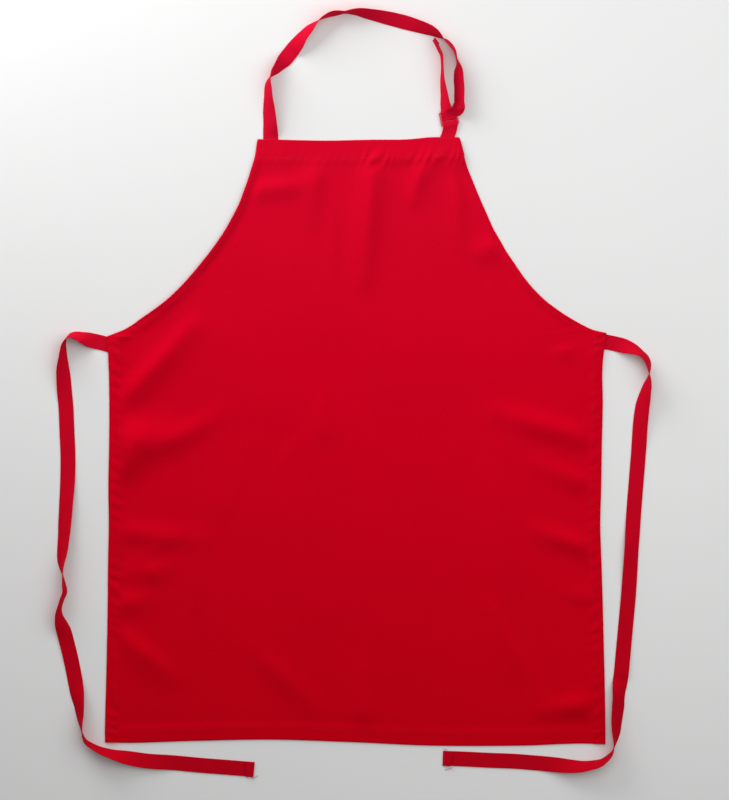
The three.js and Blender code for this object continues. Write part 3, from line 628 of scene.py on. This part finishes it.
def folded_end(sections, onto, back=11.0, askew=7):
    """Adds the end turned over onto one face, laid back along it a little askew in degrees, where it is sewn down."""
    middle, across = sections[-1]
    heading = (middle - sections[-2][0]).normalized()
    face = heading.cross(across).normalized()
    face *= 1 if face.dot(Vector(onto)) > 0 else -1
    lift = tape_thick + 0.25
    turned = []
    for k in range(1, 6):
        a = math.pi * k / 5
        turned.append((middle + heading * (lift / 2) * math.sin(a) + face * (lift / 2 * (1 - math.cos(a))), across))
    for k in range(1, 6):
        gap = lift + 0.5 * (k / 5) ** 2
        a = math.radians(askew) * k / 5
        flap = across * math.cos(a) + heading * math.sin(a)
        turned.append((middle - heading * back * k / 5 + across * 0.8 * k / 5 + face * gap, flap))
    return sections + turned


for name, run, root, node_name in (
    ("waist_tie_left", left_tie_run, (-342.5, 68.5), "tie_left"),
    ("waist_tie_right", right_tie_run, (349.5, 73.0), "tie_right"),
):
    sections = folded_end(seat_sections(root, run[0], 15) + laid([(*root, 0)] + run), (0, 0, 1))
    tie, length = tape_piece(name, sections)
    tie.data.materials.append(tape_finish)
    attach(tie, "root")
    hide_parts(node_name)

# Loose threads: the ends of the sewing thread that stick out where the ties' folded ends are sewn down.
thread_radius = 0.25
loose_runs = [
    [(-142.5, -536.5, 1.5), (-140.8, -538.9, 0.8), (-137.5, -537.6, 0.6), (-133.1, -534.9, 0.5)],
    [(132.0, -499.5, 1.6), (130.4, -498.4, 1.2), (126.6, -497.8, 0.6)],
    [(139.5, -523.6, 1.4), (134.2, -525.4, 0.8), (128.7, -527.2, 0.5)],
]
bm = bmesh.new()
for run in loose_runs:
    for start, stop in zip(run, run[1:]):
        start, stop = Vector(start) * mm, Vector(stop) * mm
        turn = (stop - start).to_track_quat("Z", "Y").to_matrix().to_4x4()
        bmesh.ops.create_cone(
            bm, cap_ends=True, segments=6, radius1=thread_radius * mm, radius2=thread_radius * mm,
            depth=(stop - start).length + 0.2 * mm, matrix=Matrix.Translation((start + stop) / 2) @ turn,
        )
for face in bm.faces:
    face.smooth = True
loose_mesh = bpy.data.meshes.new("loose_threads")
bm.to_mesh(loose_mesh)
bm.free()
loose = bpy.data.objects.new("loose_threads", loose_mesh)
bpy.context.collection.objects.link(loose)
loose_mesh.materials.append(thread)
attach(loose, "root")

# Neck strap: the same tape, sewn behind the left bib corner. It rounds the loop on its edge, goes over the slider's
# top bar, under its middle bar and back over both, and its free tail lies on edge beside it.
neck_run = [
    (-115.3, 359, 0), (-116, 377.2, -26), (-117.3, 394, -36), (-118.1, 405.2, -46), (-118.4, 416.4, -57),
    (-118.8, 427.6, -62), (-118.3, 434.6, -70), (-116.5, 440.2, -82), (-113.7, 445.1, -97), (-109.6, 450, -114),
    (-104.7, 455.6, -126), (-100.1, 461.2, -140), (-95, 467.5, -164), (-86.9, 478, -180), (-78.2, 489.2, -203),
    (-69.8, 500.4, -226), (-60.7, 510.2, -237), (-52.5, 517.9, -255), (-45.2, 523.4, -269), (-36.5, 527.7, -279),
    (-28.1, 530.6, -284), (-19.7, 531.9, -280), (-11.3, 532.7, -273), (-1.5, 533.3, -284), (6.9, 532.9, -293),
    (15.3, 531.6, -303), (23.7, 530.1, -309), (40.5, 526.6, -321), (57.3, 522.9, -330), (74.1, 518.5, -332),
    (90.9, 513.4, -321), (99.3, 510.8, -315), (107.7, 507.7, -307), (116.1, 503.3, -294), (123.1, 498.4, -276),
    (129.2, 494, -257), (134.8, 488.9, -254), (139, 483.6, -255), (142.1, 478, -259), (144.4, 469.6, -265),
    (146.6, 461.2, -277), (147.4, 455.6, -292), (147.5, 448.6, -304), (147.8, 438.8, -309), (148.6, 427.6, -309),
    (148.6, 416.4, -309), (148.5, 407.5, -308),
]
tail_run = [
    (128.6, 405.2, 126), (127.6, 416.4, 117), (126, 427.6, 111), (124.9, 438.8, 103), (124.8, 450, 98),
    (124.6, 461.2, 97), (123.9, 472.4, 98), (121.5, 478, 98), (118.6, 483.6, 98), (115.7, 489.2, 98),
    (113.8, 492.4, 97), (112.6, 494.4, 97),
]
slider_turn = math.radians(12)
slider_thick, slot, edge_bar, middle_bar, slider_wide = 2.0, 6.2, 2.6, 3.0, 26.0
low_corner, high_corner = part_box("slide_buckle")
slider_middle = (Vector(low_corner) + Vector(high_corner)) / 2 / mm
slider_low = low_corner[2] / mm
slider_high = slider_low + slider_thick
half_long = middle_bar / 2 + slot + edge_bar
slot_end = middle_bar / 2 + slot
u_axis = Vector((math.cos(slider_turn), math.sin(slider_turn), 0))
v_axis = Vector((-math.sin(slider_turn), math.cos(slider_turn), 0))
bend = 0.3 + tape_thick / 2


def on_slider(u, v, z):
    return Vector((slider_middle.x, slider_middle.y, z)) + u_axis * u + v_axis * v


def rounded(v, z, start, stop, steps=5):
    """Points of the tape's middle line about a bar's corner, from one direction to another in degrees."""
    points = []
    for k in range(steps + 1):
        a = math.radians(start + (stop - start) * k / steps)
        points.append((v + bend * math.cos(a), z + bend * math.sin(a)))
    return points


def threaded(points):
    return [(on_slider(0, v, z), u_axis.copy()) for v, z in points]


def between_edges(left, right):
    """A section whose two edges are near two points in the slider's frame, in mm."""
    a, b = on_slider(*left), on_slider(*right)
    return ((a + b) / 2, (b - a).normalized())


def eased(sections, count=4):
    """More sections between sparse ones, on a smooth curve."""
    out = []
    for i in range(len(sections) - 1):
        (p1, a1), (p2, a2) = sections[i], sections[i + 1]
        p0 = sections[i - 1][0] if i else 2 * p1 - p2
        p3 = sections[i + 2][0] if i + 2 < len(sections) else 2 * p2 - p1
        for k in range(count):
            t = k / count
            p = 0.5 * (2 * p1 + (p2 - p0) * t + (2 * p0 - 5 * p1 + 4 * p2 - p3) * t * t
                       + (3 * p1 - p0 - 3 * p2 + p3) * t ** 3)
            out.append((p, a1.lerp(a2, t).normalized()))
    return out + [sections[-1]]


drop = math.degrees(
    math.atan2(slider_thick, slot) + math.asin(2 * bend / math.hypot(slot, slider_thick))
)
over = slider_high + bend
tail_over = over + tape_thick + 0.3
strap_seat = [(Vector((-115.0, y, tape_thick / 2)), Vector((-1, 0, 0))) for y in (330, 338, 346, 354)]
round_loop = laid(neck_run)
# The strap comes in askew from the right, its right edge bulging past the slider's end before it tucks into the slot
entry = [
    between_edges((6.4, 12.4, 4.4), (24.0, 8.6, 15.0)), between_edges((1.0, 9.6, 4.3), (20.6, 3.2, 9.2)),
    between_edges((-5.2, 7.0, 4.1), (15.4, 0.2, 5.4)), between_edges((-9.6, 4.4, 3.6), (11.2, 1.0, 3.8)),
]
away = [
    between_edges((-10.0, 5.5, 5.0), (10.2, 4.2, 6.6)), between_edges((-9.7, 9.2, 5.4), (9.0, 8.4, 10.5)),
    between_edges((-8.6, 12.6, 3.0), (6.6, 11.8, 17.0)),
]
through = threaded(
    rounded(middle_bar / 2, slider_low, drop - 90, -90)
    + rounded(-middle_bar / 2, slider_low, -90, -180)
    + rounded(-middle_bar / 2, slider_high, 180, 90)
    + [(middle_bar / 2, over + 0.2)]
)
sections = (
    strap_seat + round_loop[:-1] + eased([round_loop[-1]] + entry + [through[0]]) + through[1:-1]
    + eased([through[-1]] + away + [laid(tail_run)[0]])[:-1] + laid(tail_run)
)
strap, strap_length = tape_piece("neck_loop_strap", folded_end(sections, (1, 0, 0), back=10.0, askew=0))
strap.data.materials.append(tape_finish)
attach(strap, "root")
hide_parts("neck_strap")

# Buckle tab: a short length of the same tape, looped round the slider's lower bar, both ends sewn behind the bib.
tab_x = 131.38
tab_top = 355.0
flat_low, flat_high = tape_thick / 2, tape_thick / 2 + tape_thick + 0.3


def tab_section(y, z, share):
    foot = on_slider(0, -half_long - 2 * bend, z)
    across = Vector((1, 0, 0)).lerp(u_axis, share).normalized()
    return (Vector((tab_x, y, z)).lerp(foot, share), across)


loop_slack = 3.3
lower_bar = threaded(
    [(-half_long, flat_low + 0.15)] + rounded(-slot_end + loop_slack, slider_low, -90, 0)
    + rounded(-slot_end + loop_slack, slider_high, 0, 90) + rounded(-half_long, slider_high, 90, 150)
)
tab_run = (
    eased([tab_section(tab_top - 26, flat_low, 0), tab_section(tab_top, flat_low, 0), tab_section(tab_top, flat_low, 0.5), lower_bar[0]])
    + lower_bar[1:]
    + eased([lower_bar[-1], tab_section(tab_top, flat_high, 0.5), tab_section(tab_top, flat_high, 0), tab_section(tab_top - 26, flat_high, 0)])[1:]
)
tab, tab_length = tape_piece("slider_tab", tab_run, cupped=0.0)
tab.data.materials.append(tape_finish)
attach(tab, "root")
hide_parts("buckle_tab")

# Slider: one moulding of glossy red plastic with three cross bars and two slots, its edges and corners rounded.
bm = bmesh.new()
bmesh.ops.create_grid(bm, x_segments=3, y_segments=5, size=0.5)
side_bar = (slider_wide - 21) / 2 - 0.3
bar_x = [-slider_wide / 2, -slider_wide / 2 + side_bar, slider_wide / 2 - side_bar, slider_wide / 2]
bar_y = [-half_long, -slot_end, -middle_bar / 2, middle_bar / 2, slot_end, half_long]
for vert in bm.verts:
    vert.co = (bar_x[round((vert.co.x + 0.5) * 3)] * mm, bar_y[round((vert.co.y + 0.5) * 5)] * mm, 0)
slots = [f for f in bm.faces if abs(f.calc_center_median().x) < mm and mm < abs(f.calc_center_median().y) / 1.6 < 4 * mm]
bmesh.ops.delete(bm, geom=slots, context="FACES")
plate = bmesh.ops.extrude_face_region(bm, geom=bm.faces[:])
bmesh.ops.translate(bm, vec=(0, 0, slider_thick * mm), verts=[v for v in plate["geom"] if isinstance(v, bmesh.types.BMVert)])
bmesh.ops.recalc_face_normals(bm, faces=bm.faces)
corners = [
    e for e in bm.edges
    if abs(e.verts[0].co.z - e.verts[1].co.z) > mm and abs(abs(e.verts[0].co.x) - slider_wide / 2 * mm) < 1e-6
    and abs(abs(e.verts[0].co.y) - half_long * mm) < 1e-6
]
bmesh.ops.bevel(bm, geom=corners, offset=1.9 * mm, segments=5, profile=0.5, affect="EDGES", material=-1)
sharp = [e for e in bm.edges if len(e.link_faces) == 2 and e.calc_face_angle(0) > math.radians(50)]
bmesh.ops.bevel(bm, geom=sharp, offset=0.55 * mm, segments=3, profile=0.5, affect="EDGES", material=-1)
for face in bm.faces:
    face.smooth = True
bmesh.ops.transform(
    bm,
    matrix=Matrix.Translation((slider_middle.x * mm, slider_middle.y * mm, slider_low * mm)) @ Matrix.Rotation(slider_turn, 4, "Z"),
    verts=bm.verts,
)
slider_mesh = bpy.data.meshes.new("strap_slider")
bm.to_mesh(slider_mesh)
bm.free()
slider = bpy.data.objects.new("strap_slider", slider_mesh)
bpy.context.collection.objects.link(slider)
moulded, tree, shader = finish_of("red_plastic", (0.70, 0.012, 0.070), 0.3)
shader.inputs["Coat Weight"].default_value = 0.8
shader.inputs["Coat Roughness"].default_value = 0.15
place = node(tree, "ShaderNodeTexCoord")
skin = node(tree, "ShaderNodeTexNoise", {"Vector": place.outputs["Object"], "Scale": 350.0, "Detail": 2.0})
dull = node(tree, "ShaderNodeMapRange", {"Value": skin.outputs["Fac"], "To Min": 0.24, "To Max": 0.4})
tree.links.new(dull.outputs["Result"], shader.inputs["Roughness"])
uneven = node(tree, "ShaderNodeBump", {"Height": skin.outputs["Fac"], "Strength": 0.15, "Distance": 0.1 * mm})
tree.links.new(uneven.outputs["Normal"], shader.inputs["Normal"])
slider_mesh.materials.append(moulded)
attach(slider, "root")
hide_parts("slide_buckle")
